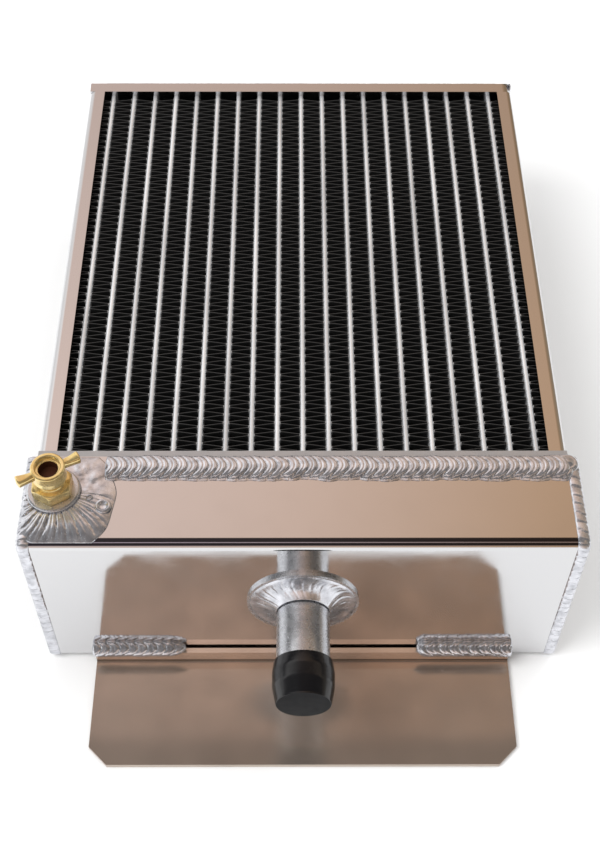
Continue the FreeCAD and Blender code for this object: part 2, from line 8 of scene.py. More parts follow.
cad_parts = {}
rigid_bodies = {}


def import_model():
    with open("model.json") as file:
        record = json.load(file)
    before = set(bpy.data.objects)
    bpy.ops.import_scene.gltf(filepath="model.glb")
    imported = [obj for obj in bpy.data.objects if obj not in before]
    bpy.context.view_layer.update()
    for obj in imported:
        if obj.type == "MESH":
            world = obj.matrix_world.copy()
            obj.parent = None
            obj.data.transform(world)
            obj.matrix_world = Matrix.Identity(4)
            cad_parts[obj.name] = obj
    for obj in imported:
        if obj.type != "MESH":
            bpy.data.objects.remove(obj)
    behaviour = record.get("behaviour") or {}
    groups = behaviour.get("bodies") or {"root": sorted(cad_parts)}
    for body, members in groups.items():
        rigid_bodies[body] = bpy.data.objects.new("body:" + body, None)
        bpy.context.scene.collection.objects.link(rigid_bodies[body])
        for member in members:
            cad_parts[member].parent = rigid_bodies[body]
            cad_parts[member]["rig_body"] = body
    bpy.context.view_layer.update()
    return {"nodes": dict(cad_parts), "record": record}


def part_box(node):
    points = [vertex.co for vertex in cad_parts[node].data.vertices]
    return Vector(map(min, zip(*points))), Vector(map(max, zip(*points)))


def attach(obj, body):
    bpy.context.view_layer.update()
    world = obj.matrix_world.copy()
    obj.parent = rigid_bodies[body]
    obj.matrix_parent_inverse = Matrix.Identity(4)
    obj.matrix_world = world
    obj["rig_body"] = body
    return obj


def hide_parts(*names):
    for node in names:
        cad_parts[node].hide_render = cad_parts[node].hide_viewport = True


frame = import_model()

MM = 0.001
UP = Vector((0, 0, 1))


# ---- places, read from the frame -------------------------------------------------------

shell_low, shell_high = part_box("near_tank_shell")
header_low, header_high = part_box("near_header")
plate_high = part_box("near_tank_end_right")[1]
FACE = shell_low.y
TOP = shell_high.z
LOW = shell_low.z
BEND = 3.5 * MM  # the radius of the outlet tank's folded edges
SEAM_START = -75 * MM
POLE = 1e-6  # the radius at which a lathe closes; its points are merged afterwards


# ---- node materials --------------------------------------------------------------------

class Nodes:
    """A node tree under construction, and short ways to add to it."""

    def __init__(self, tree):
        self.tree = tree

    def node(self, kind, **settings):
        made = self.tree.nodes.new(kind)
        for key, value in settings.items():
            setattr(made, key, value)
        return made

    def link(self, source, target):
        self.tree.links.new(source, target)

    def place(self, stretch=(1, 1, 1)):
        """The point on the object, in metres, squeezed along each axis."""
        where = self.node("ShaderNodeTexCoord")
        scale = self.node("ShaderNodeMapping")
        scale.inputs["Scale"].default_value = stretch
        self.link(where.outputs["Object"], scale.inputs["Vector"])
        return scale.outputs["Vector"]

    def grain(self, size, stretch=(1, 1, 1), detail=3):
        """Noise whose features are about size millimetres across, from 0 to 1."""
        made = self.node("ShaderNodeTexNoise")
        made.inputs["Scale"].default_value = 1 / (size * MM)
        made.inputs["Detail"].default_value = detail
        self.link(self.place(stretch), made.inputs["Vector"])
        return made.outputs["Fac"]

    def ramp(self, factor, stops):
        """A colour ramp; each stop is (place, grey or colour)."""
        made = self.node("ShaderNodeValToRGB")
        ramp = made.color_ramp
        while len(ramp.elements) < len(stops):
            ramp.elements.new(0.5)
        for element, (spot, shade) in zip(ramp.elements, stops):
            shade = shade if isinstance(shade, tuple) else (shade,) * 3
            element.position = spot
            element.color = (*shade, 1)
        self.link(factor, made.inputs["Fac"])
        return made.outputs["Color"]

    def band(self, axis, stops):
        """A ramp along one axis of the object; each stop is (metres, grey or colour)."""
        axes = self.node("ShaderNodeSeparateXYZ")
        self.link(self.place(), axes.inputs["Vector"])
        first, last = stops[0][0], stops[-1][0]
        return self.ramp(self.rescale(axes.outputs[axis], first, last),
                         [((spot - first) / (last - first), shade) for spot, shade in stops])

    def mix(self, factor, first, second, blend="MIX"):
        """Two colours mixed by factor; each may be a socket or a plain colour."""
        made = self.node("ShaderNodeMix", data_type="RGBA", blend_type=blend)
        for name, value in (("Factor", factor), ("A", first), ("B", second)):
            if isinstance(value, bpy.types.NodeSocket):
                self.link(value, made.inputs[name])
            else:
                made.inputs[name].default_value = value
        return made.outputs["Result"]

    def rescale(self, source, low, high, to_low=0.0, to_high=1.0):
        """A value from low to high brought to between to_low and to_high."""
        made = self.node("ShaderNodeMapRange")
        made.inputs["From Min"].default_value = low
        made.inputs["From Max"].default_value = high
        made.inputs["To Min"].default_value = to_low
        made.inputs["To Max"].default_value = to_high
        self.link(source, made.inputs["Value"])
        return made.outputs["Result"]


class Look(Nodes):
    """A material under construction: one Principled shader and what feeds it."""

    def __init__(self, name, colour, metallic=1.0, roughness=0.3):
        self.material = bpy.data.materials.new(name)
        self.material.use_nodes = True
        super().__init__(self.material.node_tree)
        self.shader = self.tree.nodes["Principled BSDF"]
        self.shader.inputs["Base Color"].default_value = (*colour, 1)
        self.shader.inputs["Metallic"].default_value = metallic
        self.shader.inputs["Roughness"].default_value = roughness
        self.height = None

    def colour(self, source):
        self.link(source, self.shader.inputs["Base Color"])

    def rough(self, factor, low, high):
        """Roughness that wanders between low and high."""
        self.link(self.rescale(factor, 0.3, 0.7, low, high), self.shader.inputs["Roughness"])

    def bump(self, factor, deep):
        """Adds relief, deep millimetres from trough to crest."""
        made = self.node("ShaderNodeBump")
        made.inputs["Strength"].default_value = 1
        made.inputs["Distance"].default_value = deep * MM
        self.link(factor, made.inputs["Height"])
        if self.height:
            self.link(self.height, made.inputs["Normal"])
        self.height = made.outputs["Normal"]
        self.link(self.height, self.shader.inputs["Normal"])

    def pitted(self, apart, wide, deep):
        """Adds small pits about apart millimetres apart and deep millimetres deep."""
        pits = self.node("ShaderNodeTexVoronoi")
        pits.inputs["Scale"].default_value = 1 / (apart * MM)
        self.link(self.place(), pits.inputs["Vector"])
        self.bump(self.ramp(pits.outputs["Distance"], [(0.0, 0.0), (wide, 1.0)]), deep)


def polished_sheet(name, colour, painted_bend_reflection=False):
    """Bright rolled sheet; when asked, the upper part of the rounded top front edge is coloured slate
    grey as a painted reflection.
    """
    look = Look(name, colour, roughness=0.1)
    if painted_bend_reflection:
        high = look.band("Z", [(TOP - 1.6 * MM, 0.0), (TOP - 1.2 * MM, 1.0)])
        deep = look.band("Y", [(FACE + 0.5 * MM, 0.0), (FACE + 0.9 * MM, 1.0),
                               (FACE + 3.1 * MM, 1.0), (FACE + 3.4 * MM, 0.0)])
        # painted reflection: a slate grey strip on the upper part of the rounded top front edge
        bend_reflection_mask = look.mix(1.0, high, deep, "MULTIPLY")
        look.colour(look.mix(bend_reflection_mask, (*colour, 1), (0.27, 0.285, 0.37, 1)))
    look.rough(look.grain(14), 0.06, 0.13)
    look.bump(look.grain(90, detail=1), 0.012)
    look.bump(look.grain(0.5, stretch=(0.03, 1, 1), detail=2), 0.0015)
    return look.material


def satin_plate(name, colour):
    """Handled, slightly dulled sheet with faint marks, a painted shade line along the bend above the
    plate, and painted light on the upright flange.
    """
    look = Look(name, colour, metallic=0.8, roughness=0.2)
    look.rough(look.grain(18), 0.17, 0.25)
    dark = tuple(part * 0.86 for part in colour)
    worn = look.ramp(look.grain(26, stretch=(1, 0.6, 1)), [(0.3, dark), (0.65, colour)])
    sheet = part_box("foot_bracket")[0].z + 2.2 * MM
    # painted shade: a dark line along the bend just above the plate; painted light: the upright
    # flange above it is made lighter
    bend_shade_and_flange_light = look.band("Z", [(sheet + 0.05 * MM, 1.0), (sheet + 0.3 * MM, 0.25),
                             (sheet + 1.1 * MM, 0.3), (sheet + 1.7 * MM, 1.35),
                             (sheet + 7.3 * MM, 1.5)])
    look.colour(look.mix(1.0, worn, bend_shade_and_flange_light, "MULTIPLY"))
    look.pitted(apart=9, wide=0.05, deep=0.05)
    look.bump(look.grain(0.5, stretch=(0.04, 1, 1), detail=2), 0.003)
    return look.material


def brushed_grey(name, colour):
    """Sheet that was scrubbed with a wire brush before it was welded."""
    look = Look(name, colour, metallic=0.6, roughness=0.34)
    look.rough(look.grain(4), 0.28, 0.42)
    look.bump(look.grain(0.5, stretch=(1, 0.15, 1)), 0.012)
    return look.material


def tube_aluminium():
    look = Look("tube_aluminium_look", (0.86, 0.86, 0.85), metallic=0.5)
    look.rough(look.grain(5, stretch=(1, 0.2, 1)), 0.25, 0.42)
    look.colour(look.ramp(look.grain(9, stretch=(1, 0.15, 1)),
                          [(0.3, (0.58, 0.585, 0.60)), (0.65, (0.84, 0.85, 0.87))]))
    look.bump(look.grain(1.2), 0.03)
    return look.material


def weld_aluminium():
    look = Look("weld_look", (0.8, 0.8, 0.8), metallic=0.86)
    look.rough(look.grain(2.5), 0.16, 0.28)
    look.colour(look.ramp(look.grain(3.2), [(0.32, (0.50, 0.51, 0.55)), (0.62, (0.76, 0.77, 0.82))]))
    look.bump(look.grain(0.7), 0.02)
    return look.material


def spout_aluminium():
    look = Look("spout_look", (0.66, 0.67, 0.70), metallic=0.9)
    look.rough(look.grain(2.5), 0.2, 0.34)
    look.pitted(apart=4.5, wide=0.09, deep=0.12)
    look.bump(look.grain(0.4, stretch=(1, 0.15, 1)), 0.008)
    return look.material


def cap_plastic():
    look = Look("cap_look", (0.006, 0.006, 0.007), metallic=0, roughness=0.2)
    look.rough(look.grain(4), 0.16, 0.26)
    look.bump(look.grain(1.1), 0.015)
    return look.material


def brass():
    look = Look("brass_look", (0.83, 0.62, 0.26), metallic=0.82)
    look.rough(look.grain(2), 0.14, 0.26)
    look.colour(look.ramp(look.grain(5), [(0.3, (0.72, 0.50, 0.17)), (0.62, (0.93, 0.76, 0.38))]))
    look.bump(look.grain(0.8, stretch=(1, 1, 0.3)), 0.005)
    return look.material


def coated_and_shaded_fin(pitch, tube_half, top):
    """Fins near black, for their black coating and as painted shade deep between the tubes; lighter
    silver close to the tubes as a painted highlight on the folds, and a painted light grey line on
    the top edges.
    """
    look = Look("fin_look", (0.02, 0.02, 0.02), metallic=0.4, roughness=0.4)
    axes = look.node("ShaderNodeSeparateXYZ")
    look.link(look.place(), axes.inputs["Vector"])
    shift = look.node("ShaderNodeMath", operation="ADD")
    shift.inputs[1].default_value = pitch * 100  # a whole number of pitches, so never below 0
    look.link(axes.outputs["X"], shift.inputs[0])
    wrap = look.node("ShaderNodeMath", operation="PINGPONG")
    wrap.inputs[1].default_value = pitch / 2
    look.link(shift.outputs["Value"], wrap.inputs[0])
    away = look.rescale(wrap.outputs["Value"], tube_half, tube_half + 1.1 * MM)
    # painted shade deep between the tubes, and a lighter silver painted highlight close to the tubes
    fold_light_and_depth_shade = look.ramp(away, [(0.0, 0.55), (0.2, 0.24), (0.42, 0.028), (1.0, 0.016)])
    # painted light: a light grey line along the fins' top edges
    painted_top_edge_light = look.rescale(axes.outputs["Z"], top - 0.5 * MM, top - 0.1 * MM)
    look.colour(look.mix(painted_top_edge_light, fold_light_and_depth_shade, (0.06, 0.06, 0.06, 1), "ADD"))
    look.rough(look.grain(1.5), 0.3, 0.5)
    look.bump(look.grain(1.0), 0.03)
    return look.material


def rubber():
    look = Look("rubber_look", (0.02, 0.02, 0.02), metallic=0, roughness=0.6)
    look.rough(look.grain(1), 0.5, 0.7)
    look.bump(look.grain(0.4), 0.01)
    return look.material


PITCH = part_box("tube_02")[0].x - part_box("tube_01")[0].x
TUBE_HALF = (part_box("tube_01")[1].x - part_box("tube_01")[0].x) / 2
SHEET = (0.67, 0.672, 0.685)
LOOKS = {
    "sheet_aluminium": polished_sheet("sheet_look", SHEET),
    "tube_aluminium": tube_aluminium(),
    "fin_aluminium": coated_and_shaded_fin(PITCH, TUBE_HALF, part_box("fin_pack_1")[1].z),
    "weld_aluminium": weld_aluminium(),
    "spout_aluminium": spout_aluminium(),
    "cap_plastic": cap_plastic(),
    "brass": brass(),
    "seal_rubber": rubber(),
}
SLOT_OF = {part["node"]: part["material_slot"] for part in frame["record"]["subparts"]}
for node, thing in frame["nodes"].items():
    thing.data.materials.clear()
    thing.data.materials.append(LOOKS[SLOT_OF[node]])
for node, look in (("foot_bracket", satin_plate("foot_look", (0.55, 0.455, 0.385))),
                   ("near_tank_shell", polished_sheet("sheet_look_painted_bend", SHEET, painted_bend_reflection=True)),
                   ("near_header", brushed_grey("header_look", (0.42, 0.42, 0.43)))):
    frame["nodes"][node].data.materials.clear()
    frame["nodes"][node].data.materials.append(look)


# ---- mesh helpers ----------------------------------------------------------------------

def add_piece(name, points, faces, node, slot=None, smooth=True):
    """A mesh in the frame's own place that stands for a CAD node and rides on its body."""
    mesh = bpy.data.meshes.new(name)
    mesh.from_pydata(points, [], faces)
    shell = bmesh.new()
    shell.from_mesh(mesh)
    bmesh.ops.remove_doubles(shell, verts=shell.verts, dist=POLE * 2.5)
    bmesh.ops.dissolve_degenerate(shell, edges=shell.edges, dist=1e-8)
    bmesh.ops.recalc_face_normals(shell, faces=shell.faces)
    shell.to_mesh(mesh)
    shell.free()
    mesh.validate()
    mesh.update()
    piece = bpy.data.objects.new(name, mesh)
    bpy.context.scene.collection.objects.link(piece)
    for face in mesh.polygons:
        face.use_smooth = smooth
    slot = slot or SLOT_OF[node]
    mesh.materials.append(LOOKS[slot])
    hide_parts(node)
    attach(piece, frame["nodes"][node]["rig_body"])
    return piece


def loop_faces(rows, across, ring):
    """Quads over rows of across points each; ring closes each row on itself."""
    faces = []
    for row in range(rows - 1):
        for column in range(across if ring else across - 1):
            a = row * across + column
            b = row * across + (column + 1) % across
            faces.append((a, b, b + across, a + across))
    return faces


def tube_faces(rows, ring):
    """Quads round a closed tube, and one face over each of its ends."""
    first = tuple(range(ring))[::-1]
    last = tuple(range((rows - 1) * ring, rows * ring))
    return loop_faces(rows, ring, True) + [first, last]


def under_faces(rows, turns):
    """Quads that join a dome's inner and outer rings to one more ring listed after them."""
    faces = []
    extra, outer = rows * turns, (rows - 1) * turns
    for turn in range(turns):
        following = (turn + 1) % turns
        faces.append((extra + turn, extra + following, following, turn))
        faces.append((outer + turn, outer + following, extra + following, extra + turn))
    return faces


def round_angles(turns):
    """The angles of a full circle in even steps."""
    return [2 * math.pi * turn / turns for turn in range(turns)]


def joined(parts):
    """Several (points, faces) as one."""
    points, faces = [], []
    for some_points, some_faces in parts:
        start = len(points)
        points += some_points
        faces += [tuple(corner + start for corner in face) for face in some_faces]
    return points, faces


def lathe(profile, origin, axis, turns=96):
    """A round skin: profile lists (radius, height) along axis; radius 0 closes an end."""
    axis = axis.normalized()
    side = axis.orthogonal().normalized()
    other = axis.cross(side)
    points = []
    for radius, height in profile:
        for angle in round_angles(turns):
            way = side * math.cos(angle) + other * math.sin(angle)
            points.append(origin + axis * height + way * max(radius, POLE))
    return points, tube_faces(len(profile), turns)


def rounded(corners):
    """A (radius, height) outline from corners (radius, height, bend), rounded by bend."""
    spots = []
    steps = 6
    for i, (x, y, bend) in enumerate(corners):
        here = Vector((x, y))
        if bend <= 0:
            spots.append((x, y))
            continue
        before, after = Vector(corners[i - 1][:2]), Vector(corners[i + 1][:2])
        back, ahead = (before - here).normalized(), (after - here).normalized()
        half = back.angle(ahead) / 2
        reach = bend / math.tan(half)
        start, stop = here + back * reach, here + ahead * reach
        for step in range(steps + 1):
            t = step / steps
            spot = start.lerp(here, t).lerp(here.lerp(stop, t), t)
            spots.append((spot.x, spot.y))
    return spots


def speckle(point, size, seed):
    """Smooth noise from -1 to 1 whose features are size millimetres across."""
    return noise.noise(point / (size * MM) + Vector((seed * 7.3, seed * 3.1, seed * 1.7)))


def ripple(along, across, spacing, bow):
    """The crescent scales of a weld: 0 in the narrow groove, 1 at the lip just behind it."""
    groove, lip, flat = 0.14, 0.93, 0.75
    phase = (along - bow * (1 - across * across)) / spacing
    part = phase - math.floor(phase)
    if part < groove:
        return flat * math.sqrt(part / groove)
    if part > lip:
        return 1 - (part - lip) / (1 - lip)
    scale = (part - groove) / (lip - groove)
    fine = 0.10 * math.cos(6 * math.pi * part)
    return min(1.0, flat + (1 - flat) * scale + fine * math.sin(math.pi * scale))


def weld_strip(start, end, across, normal, width, high, spacing, bow, seed, fine=0.33 * MM,
               relief=0.35 * MM, blunt=(2.5 * MM, 2.5 * MM), wander=0.5 * MM):
    """One straight bead of crescents, domed, closed underneath and rounded at both ends."""
    way = (end - start).normalized()
    length = (end - start).length
    rows = int(length / fine) + 1
    columns = 25
    narrowest = 0.05
    under = normal * 0.3 * MM
    points = []
    for row in range(rows):
        along = length * row / (rows - 1)
        near_end = min(1, along / blunt[0]) if blunt[0] else 1
        far_end = min(1, (length - along) / blunt[1]) if blunt[1] else 1
        close = math.sqrt(max(0.0, 1 - (1 - near_end) ** 2)) * math.sqrt(
            max(0.0, 1 - (1 - far_end) ** 2))
        centre = start + way * along
        sway = speckle(centre, 6, seed) * wander
        wide = (width / 2 + speckle(centre, 4, seed + 5) * wander) * max(close, narrowest)
        for column in range(columns):
            share = 2 * column / (columns - 1) - 1
            dome = max(0.0, 1 - abs(share) ** 3.4)
            lift = high * dome * (0.55 + 0.45 * close) * max(close, narrowest)
            crest = ripple(along + speckle(centre, 9, seed) * spacing * 0.3, share, spacing, bow)
            lift += relief * crest * dome ** 0.5 * close
            spot = centre + across * (sway + wide * share)
            lift += speckle(spot, 1.6, seed + 9) * 0.04 * MM * dome
            points.append(spot + normal * lift)
        points.append(centre + across * (sway + wide) - under)
        points.append(centre + across * (sway - wide) - under)
    return points, tube_faces(rows, columns + 2)


# ---- welds -----------------------------------------------------------------------------

def header_seam():
    """The wide crescent seam on top with a knot at its end, and plainer seams all round."""
    middle = header_low.y - 5.5 * MM
    side = plate_high.x - 0.5 * MM
    parts = [weld_strip(Vector((SEAM_START, middle, TOP)), Vector((side, middle, TOP)),
                        Vector((0, 1, 0)), UP, width=11.4 * MM, high=1.4 * MM,
                        spacing=3.8 * MM, bow=4.6 * MM, seed=1, relief=1.05 * MM,
                        blunt=(1 * MM, 4 * MM), fine=0.24 * MM)]
    parts.append(weld_strip(Vector((-side, middle, LOW)), Vector((side, middle, LOW)),
                            Vector((0, -1, 0)), -UP, width=9 * MM, high=0.35 * MM,
                            spacing=3.8 * MM, bow=-3 * MM, seed=2, relief=0.2 * MM,
                            fine=0.6 * MM))
    knot = Vector((plate_high.x - 2.6 * MM, header_low.y - 3.6 * MM, TOP))
    parts.append(lathe([(4.5 * MM, -1.6 * MM), (4.45 * MM, -0.4 * MM), (4.1 * MM, 0.6 * MM),
                        (3.4 * MM, 1.3 * MM), (2.6 * MM, 1.5 * MM), (2.3 * MM, 1.35 * MM),
                        (1.6 * MM, 1.85 * MM), (0.8 * MM, 2.1 * MM), (0, 2.15 * MM)],
                       knot, UP, turns=64))
    for sign in (-1, 1):
        x, y = sign * (header_high.x + 0.9 * MM), header_low.y + 0.6 * MM
        normal = Vector((sign, 0.9, 0)).normalized()
        across = Vector((0.9, -sign, 0)).normalized() * sign
        parts.append(weld_strip(Vector((x, y, LOW + 1 * MM)), Vector((x, y, TOP - 1 * MM)),
                                across, normal, width=4.4 * MM, high=0.5 * MM,
                                spacing=2.8 * MM, bow=1.2 * MM, seed=4 + sign,
                                relief=0.25 * MM, fine=0.5 * MM))
    add_piece("header_seam", *joined(parts), "near_header_weld")


def end_path():
    """Points round the outlet tank's section: top, front, bottom, with (along, spot, out)."""
    back = header_low.y - 0.5 * MM
    centre_high = Vector((0, FACE + BEND, TOP - BEND))
    centre_low = Vector((0, FACE + BEND, LOW + BEND))
    legs = []
    top_steps, bend_steps, front_steps, bottom_steps = 90, 12, 200, 40
    for step in range(top_steps):
        y = back + (centre_high.y - back) * step / top_steps
        legs.append((Vector((0, y, TOP)), UP))
    for centre, first in ((centre_high, 90), (centre_low, 180)):
        for step in range(bend_steps + 1):
            angle = math.radians(first + 90 * step / bend_steps)
            out = Vector((0, math.cos(angle), math.sin(angle)))
            legs.append((centre + out * BEND, out))
        if first == 90:
            for step in range(1, front_steps):
                z = centre_high.z + (centre_low.z - centre_high.z) * step / front_steps
                legs.append((Vector((0, FACE, z)), Vector((0, -1, 0))))
    for step in range(1, bottom_steps + 1):
        y = centre_low.y + (back - centre_low.y) * step / bottom_steps
        legs.append((Vector((0, y, LOW)), -UP))
    along = 0
    path = []
    for i, (spot, out) in enumerate(legs):
        along += (spot - legs[i - 1][0]).length if i else 0
        path.append((along, spot, out))
    return path


def end_beads():
    """Each end plate's bead: a rounded lip over the shell's edge with faint ripples."""
    section = [(-2.9, 0.0), (-2.7, 0.28), (-2.0, 0.5), (-1.0, 0.6), (0.0, 0.58), (0.9, 0.4),
               (1.6, 0.0), (1.95, -0.8), (2.0, -1.8), (1.8, -2.8), (1.1, -3.6), (0.0, -4.0),
               (0.0, -2.0), (0.0, -0.02), (-1.4, -0.02)]
    skin = 12  # the section's first points show; the rest lie inside the metal
    dip, draw = 0.42, 0.35
    path = end_path()
    for side, sign in (("left", -1), ("right", 1)):
        points = []
        for along, spot, out in path:
            for i, (x, rise) in enumerate(section):
                here = Vector((sign * (plate_high.x + x * MM), spot.y, spot.z)) + out * rise * MM
                if 0 < i < skin - 1:
                    share = 2 * i / skin - 1
                    crest = ripple(along + speckle(spot, 7, 8) * 1.2 * MM, share, 3.9 * MM, 2.6 * MM)
                    here += (out * (-dip + dip * crest) * MM
                             + Vector((sign, 0, 0)) * (-draw + draw * crest) * MM)
                    here += out * speckle(here, 2.6, 3 + sign) * 0.16 * MM
                points.append(here)
        faces = tube_faces(len(path), len(section))
        if sign > 0:
            faces = [face[::-1] for face in faces]
        add_piece(f"end_bead_{side}", points, faces, f"near_end_weld_{side}")


def fillet_weld(name, node, seed):
    """The smeared fillet round a spout: a cone with soft ripples running round it."""
    low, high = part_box(node)
    centre = (low + high) / 2
    outward = -1 if centre.y < 0 else 1
    wall = high.y if outward < 0 else low.y
    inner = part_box(node.replace("weld", "pipe"))[1].x + 0.02 * MM
    leg = (high.x - low.x) / 2 - inner
    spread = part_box(node.replace("weld", "collar"))[1].x - inner - 1.0 * MM
    turns, rows, scales = 240, 26, 26
    toe = 0.25 * MM
    points = []
    for row in range(rows):
        t = row / (rows - 1)
        for angle in round_angles(turns):
            way = Vector((math.cos(angle), 0, math.sin(angle)))
            radius = inner + spread * (1 - t)
            height = toe * min(1, t * 8) + (leg - toe) * t ** 2.8
            dome = math.sin(math.pi * t) ** 0.7 if 0 < t < 1 else 0
            crest = ripple(angle * inner, 2 * t - 1, 2 * math.pi * inner / scales, 1.6 * MM)
            spot = Vector((0, wall, centre.z)) + way * radius
            spot.y += outward * height
            bulge = (0.28 * crest + 0.25 * speckle(way * 10 * MM, 3, seed)) * dome * MM
            points.append(spot + (way + Vector((0, outward, 0))) * bulge * 0.7)
    for angle in round_angles(turns):
        way = Vector((math.cos(angle), 0, math.sin(angle)))
        points.append(Vector((0, wall, centre.z)) + way * inner)
    faces = loop_faces(rows, turns, True) + under_faces(rows, turns)
    if outward > 0:
        faces = [face[::-1] for face in faces]
    add_piece(name, points, faces, node)


def stitches():
    """The foot's two stitch welds: tapered at the inner end on the left, domed on the right."""
    low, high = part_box("foot_weld")
    foot_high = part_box("foot_bracket")[1]
    normal = Vector((0, -1, 1.25)).normalized()
    across = Vector((0, 1.25, 1)).normalized()
    level = foot_high.z + 1.9 * MM
    y = FACE - 1.7 * MM
    left_end, right_start = -47.5 * MM, 46.5 * MM
    left = weld_strip(Vector((low.x, y, level)), Vector((left_end, y, level)), across, normal,
                      width=7.2 * MM, high=1.0 * MM, spacing=3.8 * MM, bow=3.6 * MM, seed=11,
                      relief=0.75 * MM, wander=0.2 * MM, blunt=(1.2 * MM, 9 * MM))
    right = weld_strip(Vector((right_start, y, level)), Vector((high.x, y, level)), across, normal,
                       width=7.6 * MM, high=1.3 * MM, spacing=4.2 * MM, bow=-4.0 * MM, seed=12,
                       relief=0.8 * MM, wander=0.2 * MM, blunt=(4 * MM, 1.2 * MM))
    add_piece("foot_stitches", *joined([left, right]), "foot_weld")


def bung_patch():
    """The cast-looking patch of weld round the drain boss, wide on one side, with two craters."""
    low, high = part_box("drain_bung")
    centre = Vector(((low.x + high.x) / 2, (low.y + high.y) / 2, TOP))
    inner = (high.x - low.x) / 2 + 0.03 * MM
    left_room = centre.x + plate_high.x + 1.2 * MM
    front_room = centre.y - FACE - BEND * 0.35
    back_room = header_low.y - 0.4 * MM - centre.y
    turns, rows = 300, 34
    wide, tongue, sunk = 22.4 * MM, 4.6 * MM, 0.2 * MM
    points = []
    for row in range(rows):
        t = row / (rows - 1)
        for angle in round_angles(turns):
            way = Vector((math.cos(angle), math.sin(angle), 0))
            reach = wide + tongue * max(0, math.cos(angle + 0.9)) ** 6
            reach += speckle(way * 20 * MM, 8, 21) * 1.2 * MM
            for part, room in ((-way.x, left_room), (-way.y, front_room), (way.y, back_room)):
                if part > 0.05:
                    reach = min(reach, room / part)
            reach = max(reach, inner + 0.6 * MM)
            radius = inner + (reach - inner) * t
            spot = centre + way * radius
            fall = 1 - t ** 3
            swirl = min(1.0, max(0.0, 0.25 - way.y) / 0.9)
            crest = ripple(angle * 13 * MM + speckle(way * 20 * MM, 9, 3) * MM, 0.7 * t,
                           2.9 * MM, 2.6 * MM)
            rough = speckle(spot, 4.5, 6) * 0.3 + speckle(spot, 1.6, 5) * 0.1 * (1 - swirl)
            lift = (0.75 + 1.15 * crest * swirl + rough) * fall * MM
            points.append(spot + UP * max(lift, -sunk if t == 1 else 0.02 * MM))
    for angle in round_angles(turns):
        way = Vector((math.cos(angle), math.sin(angle), 0))
        points.append(centre + way * inner - UP * sunk)
    faces = loop_faces(rows, turns, True) + under_faces(rows, turns)
    pieces = [(points, [face[::-1] for face in faces])]
    for across, along, radius in ((18.8, -6.4, 3.1), (13.6, -2.6, 1.3)):
        at = centre + Vector((across * MM, along * MM, 0))
        size = radius * MM
        pieces.append(lathe(rounded([
            (size * 1.06, -sunk, 0), (size, 1.5 * MM, 0.28 * size),
            (size * 0.68, 1.65 * MM, 0.12 * size), (size * 0.4, 0.9 * MM, 0.12 * size),
            (0.0, 0.75 * MM, 0)]), at, UP, 48))
    add_piece("drain_bung_patch", *joined(pieces), "drain_bung_weld")


def shoulder_beads():
    """The inlet tank's beads, on the shoulder and at both ends."""
    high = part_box("far_header_weld")[1]
    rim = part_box("far_header")[1]
    run, drop = 16, 26  # the slope of the tank's shoulder
    down = Vector((0, run, -drop)).normalized()
    normal = Vector((0, drop, run)).normalized()
    plain = {"spacing": 3 * MM, "bow": 1.2 * MM, "relief": 0.25 * MM, "fine": 0.5 * MM,
             "wander": 0.2 * MM}
    middle = Vector((0, rim.y, rim.z)) + down * 2.0 * MM
    reach = rim.x - 5.5 * MM
    parts = [weld_strip(middle - Vector((reach, 0, 0)), middle + Vector((reach, 0, 0)),
                        -down, normal, width=3.6 * MM, high=0.3 * MM, seed=31, **plain)]
    for sign in (-1, 1):
        parts.append(weld_strip(Vector((sign * rim.x, rim.y, LOW + 2 * MM)),
                                Vector((sign * rim.x, rim.y, high.z)),
                                -Vector((0, sign, 0)), Vector((sign, 0, 0)), width=4 * MM,
                                high=0.45 * MM, seed=33 + sign, **plain))
    add_piece("inlet_tank_beads", *joined(parts), "far_header_weld")


# ---- cap -------------------------------------------------------------------------------

def outlet_cap():
    """The push-on cap: a hollow barrel that narrows to a duller end."""
    low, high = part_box("outlet_cap")
    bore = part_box("outlet_pipe")[1].x + 0.05 * MM
    wide = (high.x - low.x) / 2
    long = high.y - low.y
    rim = wide - 0.65 * MM
    floor = long - 2 * MM
    profile = [(0, floor), (bore, floor)] + rounded([
        (bore, 0.4 * MM, 0), (bore + 0.2 * MM, 0, 0.12 * MM), (rim, 0, 0.35 * MM),
        (wide, long * 0.28, 6 * MM), (wide - 0.15 * MM, long * 0.62, 9 * MM),
        (wide - 1.35 * MM, long - 0.5 * MM, 1.0 * MM), (wide - 1.6 * MM, long, 0.25 * MM),
        (0, long, 0)])
    origin = Vector((0, high.y, (low.z + high.z) / 2))
    skin = lathe(profile, origin, Vector((0, -1, 0)), turns=128)
    cap = add_piece("outlet_cap_skin", *skin, "outlet_cap")
    end_look = Look("cap_end_look", (0.006, 0.006, 0.007), metallic=0, roughness=0.35)
    end_look.shader.inputs["IOR"].default_value = 1.12
    end_look.rough(end_look.grain(3), 0.3, 0.42)
    cap.data.materials.append(end_look.material)
    for face in cap.data.polygons:
        face.material_index = int(face.center.y < low.y + 0.02 * MM)


# ---- drain cock ------------------------------------------------------------------------

def turned_hex(profile, origin, flats, turns=144):
    """A ring turned from a closed profile of (radius, height, is_hex), hexagonal in places."""
    points = []
    for radius, height, is_hex in profile:
        for angle in round_angles(turns):
            reach = radius
            if is_hex:
                off = (angle + math.pi / 6) % (math.pi / 3) - math.pi / 6
                reach = min(radius, flats / 2 / math.cos(off))
            points.append(origin + Vector((math.cos(angle) * reach, math.sin(angle) * reach,
                                           height)))
    faces = loop_faces(len(profile), turns, True)
    last = (len(profile) - 1) * turns
    for step in range(turns):
        following = (step + 1) % turns
        faces.append((last + step, last + following, following, step))
    return points, faces


